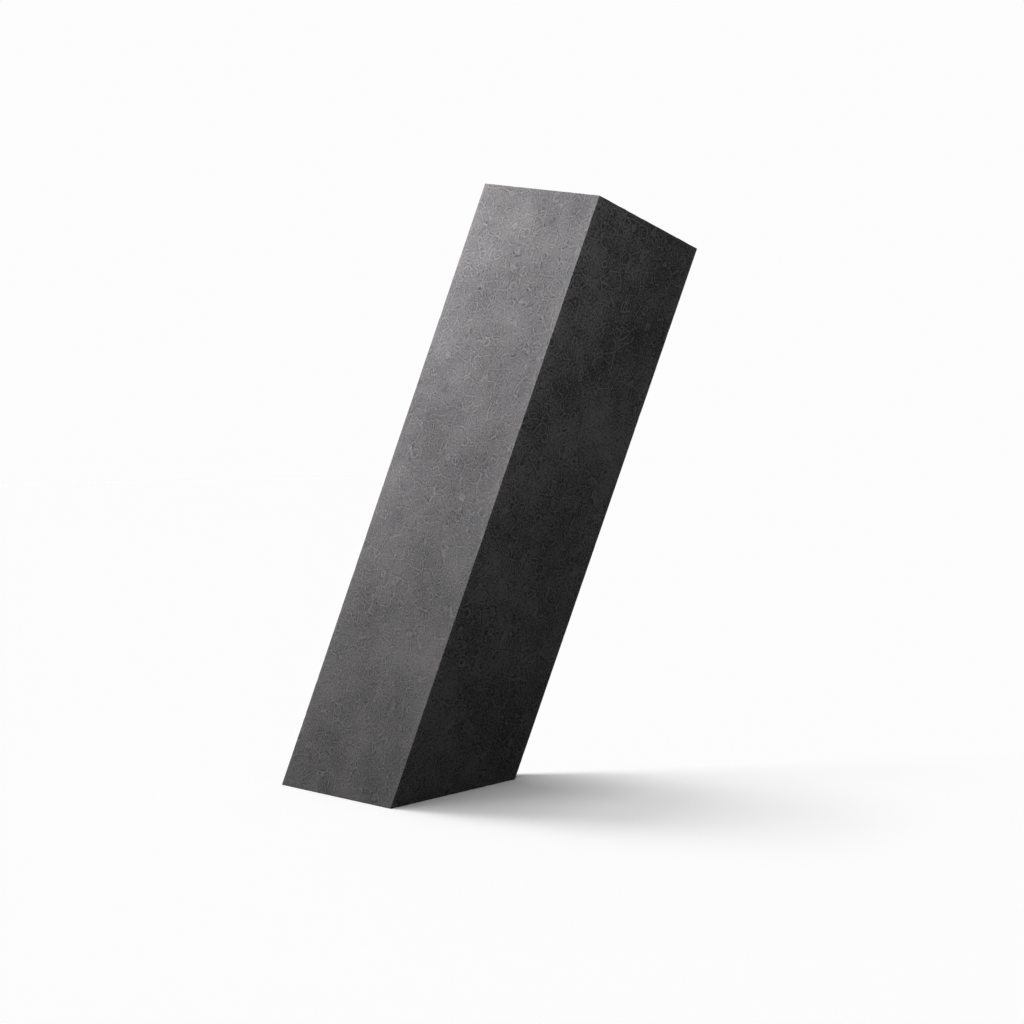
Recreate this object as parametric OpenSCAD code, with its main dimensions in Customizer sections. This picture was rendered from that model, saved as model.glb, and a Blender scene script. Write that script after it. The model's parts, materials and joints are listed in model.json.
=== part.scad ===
// Square stick of pressed charcoal, standing on its slanted drawing end.
// Millimetres. The origin is the middle of the foot's face, +Z is up, and
// the stick leans towards +X. It has one piece: nothing is fitted to it.

/* [Stick] */
// Width across two opposite sides of the square section
stick_side = 19.05; // [10:0.05:30]
// Length of the centre line, from the foot's face to the sawn end
stick_length = 73; // [45:1:150]
// Radius of the four long corners, as the press leaves them
corner_radius = 0.06; // [0.05:0.01:3]

/* [Drawing end] */
// Slant of the foot's face, which is how far the standing stick leans, in degrees
lean_angle = 20; // [0:1:40]
// Turn of the section about the centre line, in degrees, where 45 leans it over a corner
turn_angle = 45; // [0:5:90]
// Width of the worn bevel round the foot's face, on the face and on the sides
foot_bevel = 0.08; // [0.04:0.01:2]

/* [Sawn end] */
// Slope of the sawn end from square, in degrees, rising on the side that the stick leans to
saw_slope = 2; // [-10:0.5:10]
// Width of the crumbled bevel round the sawn end, on the end and on the sides
saw_bevel = 0.08; // [0.04:0.01:2]

/* [Hidden] */
$fn = 48;

side_count = 4;
// Past both ends the pressed blank is longer than any slant takes off
blank_spare = 2 * stick_side;
// Half the width of a cutting block, and its depth: more than it has to clear
block_reach = stick_length + blank_spare;

// The blank's own frame has its centre line on Z and the foot's face through the origin
foot_middle = [0, 0, 0];
foot_facing = [sin(lean_angle), 0, -cos(lean_angle)];
saw_middle = [0, 0, stick_length];
saw_facing = [-sin(saw_slope), 0, cos(saw_slope)];

// Outward direction of one of the four long sides
function side_facing(side) =
    let (heading = turn_angle + side * 360 / side_count)
    [cos(heading), sin(heading), 0];

// Middle of the edge where an end's face, through the centre line, meets a long side
function rim_point(middle, facing, outward) =
    let (lean = outward * facing)
    middle + (outward - lean * facing) * stick_side / 2 / (1 - lean * lean);

// How deep a bevel of this width cuts below the edge between two faces
function bevel_depth(bevel, facing, outward) =
    bevel * sqrt((1 - outward * facing) / 2);

// Square with round corners
module section() {
    core = stick_side - 2 * corner_radius;
    square([stick_side, core], center = true);
    square([core, stick_side], center = true);
    for (x = [-core / 2, core / 2], y = [-core / 2, core / 2])
        translate([x, y])
            circle(r = corner_radius);
}

// The pressed bar before its ends are cut
module pressed_blank() {
    translate([0, 0, -blank_spare])
        rotate([0, 0, turn_angle])
            linear_extrude(height = stick_length + 2 * blank_spare)
                section();
}

// Block that fills all the space near a plane on the side that it faces
module beyond_plane(point, facing) {
    tilt = acos(facing.z / norm(facing));
    heading = atan2(facing.y, facing.x);
    translate(point)
        rotate([0, tilt, heading])
            translate([-block_reach, -block_reach, 0])
                cube([2 * block_reach, 2 * block_reach, block_reach]);
}

// What is taken off one end: all past its face, and a bevel along each side
module end_cut(middle, facing, bevel) {
    beyond_plane(middle, facing);
    for (side = [0 : side_count - 1]) {
        outward = side_facing(side);
        bisector = (facing + outward) / norm(facing + outward);
        rim = rim_point(middle, facing, outward);
        beyond_plane(rim - bevel_depth(bevel, facing, outward) * bisector, bisector);
    }
}

module charcoal_bar() {
    color([0.27, 0.26, 0.28])
        rotate([0, lean_angle, 0])
            difference() {
                pressed_blank();
                end_cut(foot_middle, foot_facing, foot_bevel);
                end_cut(saw_middle, saw_facing, saw_bevel);
            }
}

charcoal_bar();
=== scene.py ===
"""Looks of the charcoal stick: its pressed skin, the studio round it and the photograph's camera."""

import json
import math

import bpy
import numpy as np
from mathutils import Matrix, Vector, noise


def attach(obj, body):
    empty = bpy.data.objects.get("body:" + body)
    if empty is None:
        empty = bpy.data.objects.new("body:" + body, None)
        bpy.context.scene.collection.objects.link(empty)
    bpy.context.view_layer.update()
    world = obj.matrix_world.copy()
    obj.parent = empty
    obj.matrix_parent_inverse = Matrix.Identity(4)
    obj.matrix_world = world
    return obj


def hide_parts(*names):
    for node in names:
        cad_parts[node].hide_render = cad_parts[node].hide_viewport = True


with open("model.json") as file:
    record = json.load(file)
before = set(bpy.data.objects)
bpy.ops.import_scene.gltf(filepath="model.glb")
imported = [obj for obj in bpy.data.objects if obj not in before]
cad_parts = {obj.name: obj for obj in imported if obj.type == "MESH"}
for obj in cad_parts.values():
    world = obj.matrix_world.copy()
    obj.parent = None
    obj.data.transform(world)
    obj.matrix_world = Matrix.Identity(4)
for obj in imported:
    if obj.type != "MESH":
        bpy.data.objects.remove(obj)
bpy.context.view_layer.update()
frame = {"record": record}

MM = 0.001

# ---------------------------------------------------------------- camera
LENS = 50.0
SENSOR = 36.0
CAMERA_AZIMUTH = math.radians(-0.696)
CAMERA_ELEVATION = math.radians(2.121)
CAMERA_ROLL = math.radians(-1.168)
CAMERA_DISTANCE = 174.57 * MM
NEAR_LIMIT = 1 * MM
FAR_LIMIT = 100.0
AIM = Vector((14.624, 0.99, 32.848)) * MM


def make_camera():
    """The photograph's camera: it looks at AIM from CAMERA_DISTANCE away."""
    azimuth, elevation = CAMERA_AZIMUTH, CAMERA_ELEVATION
    back = Vector((
        math.sin(azimuth) * math.cos(elevation),
        -math.cos(azimuth) * math.cos(elevation),
        math.sin(elevation),
    ))
    level = Vector((math.cos(azimuth), math.sin(azimuth), 0.0))
    right = Matrix.Rotation(CAMERA_ROLL, 3, back) @ level
    up = back.cross(right)
    data = bpy.data.cameras.new("camera")
    data.lens = LENS
    data.sensor_width = SENSOR
    data.sensor_fit = "AUTO"
    data.clip_start = NEAR_LIMIT
    data.clip_end = FAR_LIMIT
    camera = bpy.data.objects.new("camera", data)
    turn = Matrix((right, up, back)).transposed()
    camera.matrix_world = Matrix.Translation(AIM + CAMERA_DISTANCE * back) @ turn.to_4x4()
    bpy.context.scene.collection.objects.link(camera)
    bpy.context.scene.camera = camera
    return camera


# ---------------------------------------------------------------- the bar's mesh
# The same fine edges as the CAD bar has: round along the bar, and oval round its ends
ARRIS_RADIUS = 0.06 * MM
END_RADIUS = 0.10 * MM
ARRIS_STEPS = 3
SKIN_STEP = 0.32 * MM
# Two more rows of vertices beside each arris, this many radii from it
GUARD_ROWS = (1.8, 3.0)

# Depths of what the press, the saw and the paper left, all cut into the bar
UNEVEN_DEPTH = 0.012 * MM
PIT_DEPTH = 0.05 * MM
CRUMB_DEPTH = 0.05 * MM
SAW_DEPTH = 0.06 * MM
RUB_DEPTH = 0.02 * MM
# Away from the sawn end the pits and the crumbled arrises have this share of their depth
SIDE_PITS = 0.15
SIDE_CRUMBS = 0.6
# How far the crumbling reaches from an arris, and how much of the arris's polish it takes away
CRUMB_REACH = 0.22 * MM
CRUMB_WEAR = 0.6

# Three smooth noises over the bar; a shift for each seed keeps them apart
BROAD_PITCH = 7 * MM
COARSE_PITCH = 1.6 * MM
FINE_PITCH = 0.75 * MM
BROAD_SEED, COARSE_SEED, FINE_SEED = 1, 2, 3
SEED_SHIFT = (17.3, 5.1, 9.7)
# How much coarse and fine noise make a pit or a crumb, and where on their sum it begins and is full
PIT_MIX = (0.5, 0.8)
PIT_RANGE = (0.35, 0.75)
CRUMB_MIX = (0.6, 0.6)
CRUMB_RANGE = (0.0, 0.7)
# Rough spots between the saw's ridges, on the fine noise
ROUGH_RANGE = (-0.3, 0.6)

# Ridges from the saw and the paper: their pitch, their slant across the bar, and how much the
# broad and the coarse noise push them about
SAW_PITCH = 0.9 * MM
SAW_SLANT = 0.25
SAW_WAVER = (0.5, 0.12)
RUB_PITCH = 0.7 * MM
RUB_SLANT = 0.3
RUB_WAVER = (0.4, 0.2)
# Where a vertex's facing along the bar begins to count as an end, and where it wholly does
END_RANGE = (0.5, 0.9)
# Painted highlight: the sides are lightened towards the long arrises, where light catches them
PAINTED_HIGHLIGHT_REACH = 2.4 * MM

# The kinds of face, each with its own finish
SIDE, SAWN, RUBBED = 0, 1, 2
# How strongly the sides show their pattern: front right, back right, back left and front left
SIDE_BOLDNESS = (2.5, 1.3, 1.15, 1.0)
END_BOLDNESS = 1.2


def bar_frame(record):
    """The bar's own directions and sizes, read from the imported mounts."""
    mounts = {mount["name"]: mount for mount in record["mounts"]}
    middle = np.array(mounts["sawn_end"]["pos_m"])
    length = np.linalg.norm(middle)
    along = middle / length
    facing = np.array(mounts["lying_side"]["axis"])
    across = np.cross(along, facing)
    return {
        "length": length,
        "half": float(facing @ np.array(mounts["lying_side"]["pos_m"])),
        "along": along,
        "sides": (facing, across),
        "foot": np.array(mounts["foot"]["axis"]),
        "saw": np.array(mounts["sawn_end"]["axis"]),
    }


def stations(half, radius):
    """Places across a width of two halves: an even middle, and a few more round each arris."""
    angles = np.linspace(0.0, math.pi / 4, ARRIS_STEPS + 1)
    arc = radius * (1 - np.tan(angles))[::-1]
    edge = np.append(arc, radius * np.array(GUARD_ROWS))
    inner = half - edge[-1]
    count = max(2, round(2 * inner / SKIN_STEP))
    middle = np.linspace(-inner, inner, count + 1)[1:-1]
    return np.concatenate((edge - half, middle, (half - edge)[::-1]))


def shell(counts):
    """Where the vertices are on a box's surface grid, and its faces, facing out."""
    number = np.full(counts, -1)
    hollow = np.zeros(counts, bool)
    hollow[1:-1, 1:-1, 1:-1] = True
    number[~hollow] = np.arange((~hollow).sum())
    quads = []
    for axis in range(3):
        for end, flip in ((0, True), (-1, False)):
            sheet = np.take(number, end, axis=axis)
            if axis == 1:
                flip = not flip
            ring = [sheet[:-1, :-1], sheet[1:, :-1], sheet[1:, 1:], sheet[:-1, 1:]]
            if flip:
                ring.reverse()
            quads.append(np.stack([corner.ravel() for corner in ring], axis=1))
    return np.argwhere(~hollow), np.concatenate(quads)


def noise_at(points, pitch, seed):
    """Smooth noise from about -1 to 1, with bumps about one pitch apart."""
    shift = Vector([seed * step for step in SEED_SHIFT])
    return np.array([noise.noise(Vector(point) / pitch + shift) for point in points])


def smooth(low, high, value):
    """0 below low and 1 above high, eased between them."""
    share = np.clip((value - low) / (high - low), 0, 1)
    return share * share * (3 - 2 * share)


def scoring(position, pitch, waver):
    """Ridges one pitch apart along a position, each from 0 to 1, pushed about by waver."""
    phase = position / pitch + waver
    return 0.5 - 0.5 * np.cos(2 * math.pi * phase)


def rounded_box(limits):
    """A straight box with round arrises: its points, which way each one faces, and its faces."""
    widths = stations(limits[0], ARRIS_RADIUS)
    heights = stations(limits[2], END_RADIUS)
    places, quads = shell((len(widths), len(widths), len(heights)))
    box = np.stack((widths[places[:, 0]], widths[places[:, 1]], heights[places[:, 2]]), axis=1)
    radii = np.array((ARRIS_RADIUS, ARRIS_RADIUS, END_RADIUS))
    core = np.clip(box, radii - limits, limits - radii)
    reach = (box - core) / radii
    reach /= np.linalg.norm(reach, axis=1)[:, None]
    box = core + radii * reach
    out = reach / radii
    out /= np.linalg.norm(out, axis=1)[:, None]
    return box, out, quads


def slant(bar, box, plan, out):
    """The box's points and normals on the bar, between its slanted foot and sawn end."""
    facing, across = bar["sides"]
    low = -(plan @ bar["foot"]) / (bar["along"] @ bar["foot"])
    high = bar["length"] - (plan @ bar["saw"]) / (bar["along"] @ bar["saw"])
    # A height in the box is a share of the way from the foot to the sawn end
    share = box[:, 2] / bar["length"] + 0.5
    points = plan + (low + (high - low) * share)[:, None] * bar["along"]
    end = np.where(out[:, 2:] > 0, bar["saw"], bar["foot"])
    normals = out[:, :1] * facing + out[:, 1:2] * across + np.abs(out[:, 2:]) * end
    normals /= np.linalg.norm(normals, axis=1)[:, None]
    return points, normals


def wear(bar, box, plan, points, near, on_saw, on_foot):
    """How deep the skin is cut at each vertex, and how much it is crumbled there, from 0 to 1."""
    broad = noise_at(points, BROAD_PITCH, BROAD_SEED)
    coarse = noise_at(points, COARSE_PITCH, COARSE_SEED)
    fine = noise_at(points, FINE_PITCH, FINE_SEED)
    pits = smooth(*PIT_RANGE, coarse * PIT_MIX[0] + fine * PIT_MIX[1])
    crumbs = smooth(*CRUMB_RANGE, coarse * CRUMB_MIX[0] + fine * CRUMB_MIX[1])
    saw_waver = SAW_WAVER[0] * broad + SAW_WAVER[1] * coarse
    saw_lines = scoring(plan @ bar["foot"] + box[:, 0] * SAW_SLANT, SAW_PITCH, saw_waver)
    rub_waver = RUB_WAVER[0] * broad + RUB_WAVER[1] * coarse
    rub_lines = scoring(box[:, 1] + RUB_SLANT * box[:, 0], RUB_PITCH, rub_waver)

    depth = UNEVEN_DEPTH * (0.5 + 0.5 * broad)
    depth += PIT_DEPTH * pits * (1 - near) * (SIDE_PITS + (1 - SIDE_PITS) * on_saw)
    depth += CRUMB_DEPTH * near * crumbs * (SIDE_CRUMBS + (1 - SIDE_CRUMBS) * on_saw)
    depth += SAW_DEPTH * on_saw * (0.5 * saw_lines + 0.5 * smooth(*ROUGH_RANGE, fine))
    depth += RUB_DEPTH * on_foot * rub_lines
    return np.maximum(depth, 0), crumbs


def skin_mesh(points, quads, kinds, attributes):
    """A smooth mesh with a material for each kind of face, and values for its materials to read."""
    mesh = bpy.data.meshes.new("pressed_bar")
    mesh.from_pydata(points.tolist(), [], quads.tolist())
    mesh.polygons.foreach_set("use_smooth", [True] * len(quads))
    mesh.polygons.foreach_set("material_index", kinds[quads].min(axis=1).astype(np.int32))
    for name, values in attributes.items():
        attribute = mesh.attributes.new(name, "FLOAT", "POINT")
        attribute.data.foreach_set("value", values.astype(np.float32))
    mesh.update()
    return mesh


def make_bar(bar):
    """The bar as a fine skin: flat sides, broken arrises, saw marks on top and a rubbed foot."""
    limits = np.array((bar["half"], bar["half"], bar["length"] / 2))
    box, out, quads = rounded_box(limits)
    facing, across = bar["sides"]
    plan = box[:, :1] * facing + box[:, 1:2] * across
    points, normals = slant(bar, box, plan, out)

    on_saw = smooth(*END_RANGE, out[:, 2])
    on_foot = smooth(*END_RANGE, -out[:, 2])
    # How near each vertex is to an arris, from 1 on it to 0
    gaps = np.sort(limits - np.abs(box), axis=1)[:, 1]
    near = np.exp(-np.maximum(gaps - ARRIS_RADIUS / 2, 0) / CRUMB_REACH)
    depth, crumbs = wear(bar, box, plan, points, near, on_saw, on_foot)
    points = points - normals * depth[:, None]
    points[:, 2] = np.maximum(points[:, 2], 0)

    kinds = np.where(on_saw > 0.5, SAWN, np.where(on_foot > 0.5, RUBBED, SIDE))
    turns = np.stack((out[:, 0], out[:, 1], -out[:, 0], -out[:, 1]), axis=1)
    shares = np.maximum(turns, 0) ** 2
    margins = np.sort(limits[:2] - np.abs(box[:, :2]), axis=1)[:, 1]
    mesh = skin_mesh(points, quads, kinds, {
        "arris": near * (1 - CRUMB_WEAR * crumbs),
        "boldness": shares @ np.array(SIDE_BOLDNESS) + END_BOLDNESS * out[:, 2] ** 2,
        # Painted highlight: lighter towards the long arrises of the sides
        "painted_highlight": (1 - on_saw - on_foot) * np.exp(-margins / PAINTED_HIGHLIGHT_REACH),
    })
    piece = bpy.data.objects.new("pressed_bar", mesh)
    bpy.context.scene.collection.objects.link(piece)
    return piece


# ---------------------------------------------------------------- materials
def add(tree, kind, inputs=None, **settings):
    """A shader node with its settings, and its sockets set to values or linked to outputs."""
    made = tree.nodes.new("ShaderNode" + kind)
    for name, value in settings.items():
        setattr(made, name, value)
    for socket, value in (inputs or {}).items():
        if isinstance(value, bpy.types.NodeSocket):
            tree.links.new(value, made.inputs[socket])
        else:
            made.inputs[socket].default_value = value
    return made


def calc(tree, operation, first, second=0.0):
    """One step of arithmetic on one or two values."""
    return add(tree, "Math", {0: first, 1: second}, operation=operation).outputs[0]


def ramp(tree, value, low, high, bottom=0.0, top=1.0):
    """A value eased from bottom to top as it goes from low to high."""
    sockets = {"Value": value, "From Min": low, "From Max": high, "To Min": bottom, "To Max": top}
    return add(tree, "MapRange", sockets, interpolation_type="SMOOTHSTEP").outputs[0]


def blank_material(name):
    """A new material with no nodes yet."""
    material = bpy.data.materials.new(name)
    material.use_nodes = True
    material.node_tree.nodes.clear()
    return material


# Colours of the charcoal's darkest and lightest powder, and where its mean lies between them
DARK_POWDER = (0.030, 0.029, 0.031, 1.0)
LIGHT_POWDER = (0.2023, 0.195, 0.1998, 1.0)
MEAN_TONE = 0.50
# The blotches turn a little warmer and cooler, over this range of their noise
WARM_TINT = (1.008, 0.998, 0.998, 1.0)
COOL_TINT = (0.994, 0.999, 1.004, 1.0)
TINT_RANGE = (0.35, 0.65)

# Noises of the pattern: pitch in millimetres, detail and roughness
CLOUDS = (8.5, 3.0, 0.6)
BLOTCHES = (2.4, 2.0, 0.5)
GRAIN = (0.22, 2.0, 0.6)
SPECKS = (0.42, 1.0, 0.5)
BREAKS = (0.7, 1.0, 0.5)
# The specks are the peaks of their noise, from where they begin to where they are full, with
# about this mean over the skin
SPECK_RANGE = (0.6, 0.72)
SPECK_MEAN = 0.1

# The curls, in millimetres: wavering cells, with rings of one radius among them
CELL_PITCH = 1.9
RING_PITCH = 2.1
RING_RADIUS = 0.82
RING_SHIFT = (40.0, 40.0, 40.0)
BEND_PITCH = 1.5
BEND_DETAIL = 1.0
BEND = 0.5
# How unevenly the cells and rings are scattered, from 0 to 1
SCATTER = 0.75
# Half widths in millimetres of a curl's light core and of its dark flanks, where the core fades
# as shares of its own, and how dark the flanks are against it
LINE_CORE = 0.075
CORE_FADE = (0.3, 1.7)
LINE_FLANK = 0.26
FLANK_SHARE = 0.5
# The curls break up over this range of a noise, from their strength below it to that above it
BREAK_RANGE = (0.38, 0.58, 0.2, 1.3)

# How much each part lightens or darkens the powder, and how far it stands out
CLOUD_TONE = 0.82
BLOTCH_TONE = 0.26
GRAIN_TONE = 1.1
LINE_TONE = 0.35
SPECK_TONE = -0.13
ARRIS_TONE = 0.04
# Painted highlight: how much lighter the sides are at the long arrises
PAINTED_HIGHLIGHT_TONE = 0.135
GRAIN_RELIEF = 0.5
LINE_RELIEF = 0.04
BUMP_DISTANCE = 0.08 * MM

# Each finish has its roughness, its shares of grain and of curls, and its shade against the mean.
# They come in the order of SIDE, SAWN and RUBBED.
FINISHES = {
    "charcoal_side": (0.86, 1.0, 1.0, 1.0),
    "charcoal_sawn": (0.92, 1.5, 0.3, 1.05),
    "charcoal_rubbed": (0.72, 0.7, 0.3, 0.85),
}
# The roughness follows the clouds by POLISH either way, and the arrises are smoother
POLISH_RANGE = (0.3, 0.7)
POLISH = 0.06
ARRIS_POLISH = 0.08
SPECULAR = 0.1
SHEEN = 0.06
SHEEN_ROUGHNESS = 0.6


def noise_node(tree, place, pitch, detail, roughness):
    """A noise from 0 to 1, with its pitch in millimetres."""
    inputs = {"Vector": place, "Scale": 1.0 / pitch, "Detail": detail, "Roughness": roughness}
    return add(tree, "TexNoise", inputs).outputs[0]


def hairline(tree, distance):
    """A thin light line where a distance is 0, between darker flanks."""
    gap = calc(tree, "ABSOLUTE", distance)
    core = ramp(tree, gap, CORE_FADE[0] * LINE_CORE, CORE_FADE[1] * LINE_CORE, 1.0, 0.0)
    flank = ramp(tree, gap, LINE_CORE, LINE_FLANK, FLANK_SHARE, 0.0)
    return calc(tree, "SUBTRACT", core, flank)


def bent_place(tree, place):
    """The place pushed about by a smooth noise, so that the curls waver."""
    bend_inputs = {"Vector": place, "Scale": 1.0 / BEND_PITCH, "Detail": BEND_DETAIL}
    bend = add(tree, "TexNoise", bend_inputs).outputs["Color"]
    centred = {0: bend, 1: (0.5, 0.5, 0.5)}
    push = add(tree, "VectorMath", centred, operation="SUBTRACT").outputs[0]
    scaled = add(tree, "VectorMath", {0: push, 3: BEND}, operation="SCALE").outputs[0]
    return add(tree, "VectorMath", {0: place, 1: scaled}, operation="ADD").outputs[0]


def curl_lines(tree, place):
    """Hairlines as the pressed powder shows: wavering cells, and rings and arcs among them."""
    bent = bent_place(tree, place)
    cell_inputs = {"Vector": bent, "Scale": 1.0 / CELL_PITCH, "Randomness": SCATTER}
    walls = add(tree, "TexVoronoi", cell_inputs, feature="DISTANCE_TO_EDGE").outputs["Distance"]
    lines = hairline(tree, calc(tree, "MULTIPLY", walls, CELL_PITCH))
    moved = add(tree, "VectorMath", {0: bent, 1: RING_SHIFT}, operation="ADD").outputs[0]
    ring_inputs = {"Vector": moved, "Scale": 1.0 / RING_PITCH, "Randomness": SCATTER}
    centres = add(tree, "TexVoronoi", ring_inputs).outputs["Distance"]
    reach = calc(tree, "SUBTRACT", calc(tree, "MULTIPLY", centres, RING_PITCH), RING_RADIUS)
    both = calc(tree, "ADD", lines, hairline(tree, reach))
    breaks = ramp(tree, noise_node(tree, place, *BREAKS), *BREAK_RANGE)
    return calc(tree, "MULTIPLY", both, breaks)


def powder_tone(tree, parts, arris, boldness, painted_highlight, shade):
    """How light the powder is, from its mean, the pattern's parts and the painted highlight along the
    long arrises.
    """
    pattern = calc(tree, "MULTIPLY", arris, ARRIS_TONE)
    for value, middle, weight in parts:
        part = calc(tree, "MULTIPLY", calc(tree, "SUBTRACT", value, middle), weight)
        pattern = calc(tree, "ADD", part, pattern)
    # The painted highlight along the arrises is added outside the boldness
    base = calc(tree, "ADD", calc(tree, "MULTIPLY", painted_highlight, PAINTED_HIGHLIGHT_TONE), MEAN_TONE * shade)
    return calc(tree, "ADD", calc(tree, "MULTIPLY", pattern, boldness), base)


def powder_colour(tree, tone, blotch, boldness):
    """The tone's grey, turned a little warmer or cooler by the blotches."""
    greys = {0: tone, 6: DARK_POWDER, 7: LIGHT_POWDER}
    grey = add(tree, "Mix", greys, data_type="RGBA").outputs[2]
    warmth = calc(tree, "SUBTRACT", ramp(tree, blotch, *TINT_RANGE), 0.5)
    warmth = calc(tree, "ADD", calc(tree, "MULTIPLY", warmth, boldness), 0.5)
    tints = {0: warmth, 6: COOL_TINT, 7: WARM_TINT}
    tint = add(tree, "Mix", tints, data_type="RGBA", clamp_factor=False).outputs[2]
    tinted = {0: 1.0, 6: grey, 7: tint}
    return add(tree, "Mix", tinted, data_type="RGBA", blend_type="MULTIPLY").outputs[2]


def powder_bump(tree, grain, curls, grain_share, line_share):
    """The fine relief of the grain and the curls."""
    grain_height = calc(tree, "MULTIPLY", grain, GRAIN_RELIEF * grain_share)
    line_height = calc(tree, "MULTIPLY", curls, LINE_RELIEF * line_share)
    height = calc(tree, "ADD", grain_height, line_height)
    bump = {"Height": height, "Distance": BUMP_DISTANCE, "Strength": 1.0}
    return add(tree, "Bump", bump).outputs[0]


def charcoal(name, lean, roughness, grain_share, line_share, shade):
    """Pressed charcoal: clouds, blotches, hairline curls and powder grain over one dark grey."""
    material = blank_material(name)
    tree = material.node_tree
    # Object coordinates in millimetres, with Z along the bar
    spot = add(tree, "TexCoord").outputs["Object"]
    upright = {"Vector": spot, "Rotation": (0.0, -lean, 0.0), "Scale": (1 / MM, 1 / MM, 1 / MM)}
    place = add(tree, "Mapping", upright).outputs[0]

    cloud = noise_node(tree, place, *CLOUDS)
    blotch = noise_node(tree, place, *BLOTCHES)
    grain = noise_node(tree, place, *GRAIN)
    specks = ramp(tree, noise_node(tree, place, *SPECKS), *SPECK_RANGE)
    curls = curl_lines(tree, place)
    arris = add(tree, "Attribute", attribute_name="arris").outputs["Fac"]
    boldness = add(tree, "Attribute", attribute_name="boldness").outputs["Fac"]
    # Painted highlight towards the long arrises
    painted_highlight = add(tree, "Attribute", attribute_name="painted_highlight").outputs["Fac"]

    # Each part of the pattern with its middle and its weight
    parts = (
        (cloud, 0.5, CLOUD_TONE),
        (blotch, 0.5, BLOTCH_TONE),
        (grain, 0.5, GRAIN_TONE * grain_share),
        (curls, 0.0, LINE_TONE * line_share),
        (specks, SPECK_MEAN, SPECK_TONE * grain_share),
    )
    tone = powder_tone(tree, parts, arris, boldness, painted_highlight, shade)
    dull = ramp(tree, cloud, *POLISH_RANGE, roughness - POLISH, roughness + POLISH)
    shader = add(tree, "BsdfPrincipled", {
        "Base Color": powder_colour(tree, tone, blotch, boldness),
        "Roughness": calc(tree, "SUBTRACT", dull, calc(tree, "MULTIPLY", arris, ARRIS_POLISH)),
        "Normal": powder_bump(tree, grain, curls, grain_share, line_share),
        "Specular IOR Level": SPECULAR,
        "Sheen Weight": SHEEN,
        "Sheen Roughness": SHEEN_ROUGHNESS,
    })
    add(tree, "OutputMaterial", {"Surface": shader.outputs[0]})
    return material


# ---------------------------------------------------------------- studio
# The white that the floor and the world show, and the little that each gives the stick
PAPER_WHITE = 0.98
FLOOR_BOUNCE = 0.070
FILL_LEVEL = 0.015
# The floor's side, in metres
FLOOR_SIDE = 8.0
# Panels that light the stick alone: place and width in millimetres, and power in watts
STICK_MIDDLE = Vector((12.0, 0.0, 36.0)) * MM
STICK_LIGHTS = {
    "key": ((-50, 0, 117), 40, 0.195),
    "front_fill": ((18, -67, 80), 30, 0.0136),
    "back_fill": ((120, 150, 110), 90, 0.12),
}
# Softboxes that light the floor alone: azimuth, elevation and width in degrees, and share of the
# floor's light. The shares and FILL_LEVEL add up to 1. Azimuth 0 is on the right, 90 behind.
FLOOR_LIGHTS = {
    "floor_right_small": (348.3, 72.5, 5.6, 0.134),
    "floor_right_wide": (341.7, 70.2, 12.7, 0.049),
    "floor_right_back": (15.2, 78.3, 14.4, 0.234),
    "floor_back_right": (64.3, 80.5, 12.5, 0.093),
    "floor_back": (101.8, 77.6, 12.5, 0.157),
    "floor_back_left": (132.4, 69.3, 14.1, 0.124),
    "floor_left": (199.2, 61.6, 22.3, 0.070),
    "floor_sky": (0.0, 90.0, 179.0, 0.124),
}
# The photographed shadow ends on its far side along a line that starts beside the foot. Its blur
# grows by EDGE_SPREAD of the way run, and behind the foot the line fades in over EDGE_FADE.
# Past this line the floor is painted white over the stick's real shadow: painted light
EDGE_START = Vector((15.0, 2.83, 0.0)) * MM
EDGE_SLOPE = 0.01
EDGE_BLUR = 0.9 * MM
EDGE_SPREAD = 0.125
EDGE_FADE = 18 * MM


def link_light(light, only):
    """Lets a light fall on one object only."""
    lit = bpy.data.collections.new(light.name + "_lights")
    lit.objects.link(only)
    light.light_linking.receiver_collection = lit


def area_light(name, place, aim, size, power, only):
    """A soft square panel that faces aim."""
    data = bpy.data.lights.new(name, "AREA")
    data.shape = "SQUARE"
    data.size = size
    data.energy = power
    light = bpy.data.objects.new(name, data)
    facing = (aim - place).to_track_quat("-Z", "Y").to_matrix()
    light.matrix_world = Matrix.Translation(place) @ facing.to_4x4()
    light.visible_camera = False
    bpy.context.scene.collection.objects.link(light)
    link_light(light, only)


def sky_light(name, azimuth, elevation, width, share, only):
    """A far softbox; a level surface in colour c shows it as c times its share."""
    tilt = math.radians(90 - elevation)
    data = bpy.data.lights.new(name, "SUN")
    data.angle = math.radians(width)
    data.energy = math.pi * share / math.cos(tilt)
    light = bpy.data.objects.new(name, data)
    turn = Matrix.Rotation(math.radians(azimuth), 4, "Z")
    light.matrix_world = turn @ Matrix.Rotation(tilt, 4, "Y")
    bpy.context.scene.collection.objects.link(light)
    link_light(light, only)


def make_studio(piece):
    """The key darkens the bar towards its foot; the lights over the floor make its shadow."""
    floor = make_floor()
    for name, (place, width, power) in STICK_LIGHTS.items():
        area_light(name, Vector(place) * MM, STICK_MIDDLE, width * MM, power, piece)
    for name, values in FLOOR_LIGHTS.items():
        sky_light(name, *values, floor)
    make_world()


def make_world():
    """White where the camera or a reflection looks past the floor, and a weak even fill elsewhere."""
    world = bpy.data.worlds.new("studio")
    world.use_nodes = True
    bpy.context.scene.world = world
    tree = world.node_tree
    tree.nodes.clear()
    seen = seen_directly(tree)
    levels = {0: seen, 2: FILL_LEVEL, 3: PAPER_WHITE}
    level = add(tree, "Mix", levels, data_type="FLOAT").outputs[0]
    white = add(tree, "Background", {"Color": (1, 1, 1, 1), "Strength": level})
    add(tree, "OutputWorld", {"Surface": white.outputs[0]})


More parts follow.
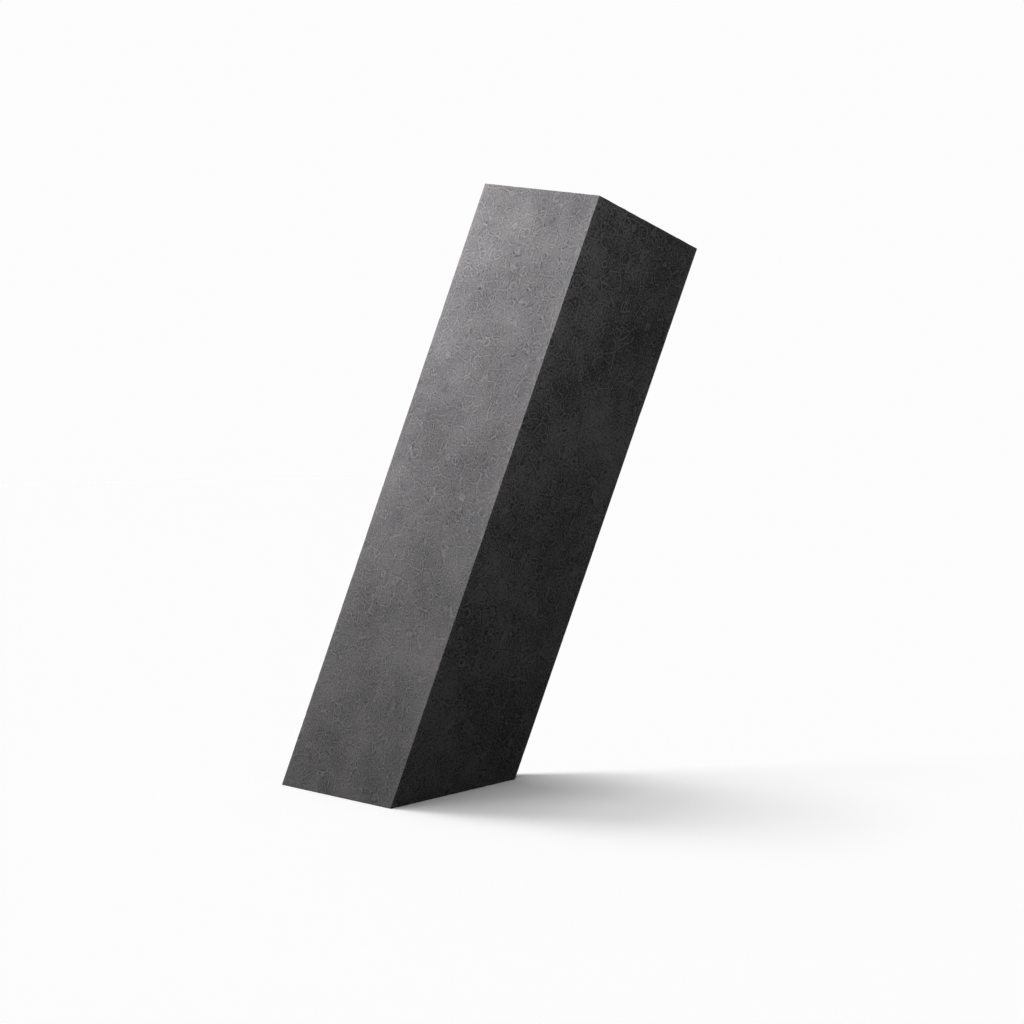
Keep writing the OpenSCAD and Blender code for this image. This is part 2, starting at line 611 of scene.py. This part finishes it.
def seen_directly(tree):
    """1 on rays from the camera, off a gloss or through glass, and 0 on the rest."""
    path = add(tree, "LightPath").outputs
    seen = calc(tree, "MAXIMUM", path["Is Camera Ray"], path["Is Glossy Ray"])
    return calc(tree, "MAXIMUM", seen, path["Is Transmission Ray"])


def painted_white_beyond_edge(tree):
    """Where the floor is painted white over the shadow: 1 on the far side of the photographed
    shadow's edge, and 0 on this side and behind the foot.
    """
    place = add(tree, "NewGeometry").outputs["Position"]
    axes = add(tree, "SeparateXYZ", {0: place}).outputs
    run = calc(tree, "SUBTRACT", axes[0], EDGE_START.x)
    line = calc(tree, "ADD", calc(tree, "MULTIPLY", run, EDGE_SLOPE), EDGE_START.y)
    past = calc(tree, "SUBTRACT", axes[1], line)
    # The edge blurs as it runs away from the foot
    ahead = calc(tree, "MAXIMUM", run, 0.0)
    blur = calc(tree, "ADD", calc(tree, "MULTIPLY", ahead, EDGE_SPREAD), EDGE_BLUR)
    far = ramp(tree, calc(tree, "DIVIDE", past, blur), -1.0, 1.0)
    beside = ramp(tree, run, -EDGE_FADE, 0.0)
    return calc(tree, "MULTIPLY", far, beside)


def make_floor():
    """A pale floor that keeps the shadow on this side of the edge, and is painted white over it past
    the edge; what it bounces on to the stick is set by FLOOR_BOUNCE.
    """
    mesh = bpy.data.meshes.new("floor")
    reach = FLOOR_SIDE / 2
    corners = [(-reach, -reach, 0), (reach, -reach, 0), (reach, reach, 0), (-reach, reach, 0)]
    mesh.from_pydata(corners, [], [(0, 1, 2, 3)])
    floor = bpy.data.objects.new("floor", mesh)
    bpy.context.scene.collection.objects.link(floor)
    material = blank_material("floor_paper")
    tree = material.node_tree
    seen = seen_directly(tree)
    shown = (PAPER_WHITE,) * 3 + (1.0,)
    bounced = (FLOOR_BOUNCE,) * 3 + (1.0,)
    colours = {0: seen, 6: bounced, 7: shown}
    colour = add(tree, "Mix", colours, data_type="RGBA").outputs[2]
    paper = add(tree, "BsdfDiffuse", {"Color": colour})
    # Painted light: even white shown over the shadow past the edge
    painted_white = add(tree, "Emission", {"Color": shown, "Strength": 1.0})
    share = calc(tree, "MULTIPLY", painted_white_beyond_edge(tree), seen)
    mixed = add(tree, "MixShader", {0: share, 1: paper.outputs[0], 2: painted_white.outputs[0]})
    add(tree, "OutputMaterial", {"Surface": mixed.outputs[0]})
    mesh.materials.append(material)
    return floor


def write_points(piece):
    """Reads the finished mesh's vertex positions into an array; nothing more is done with them."""
    graph = bpy.context.evaluated_depsgraph_get()
    mesh = piece.evaluated_get(graph).data
    points = np.empty(len(mesh.vertices) * 3, np.float32)
    mesh.vertices.foreach_get("co", points)


# ---------------------------------------------------------------- the scene
bpy.context.scene.view_settings.view_transform = "Standard"
camera = make_camera()
bar = bar_frame(frame["record"])
piece = make_bar(bar)
lean = math.atan2(bar["along"][0], bar["along"][2])
for name, values in FINISHES.items():
    piece.data.materials.append(charcoal(name, lean, *values))
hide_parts("charcoal_bar")
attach(piece, "root")
make_studio(piece)
write_points(piece)
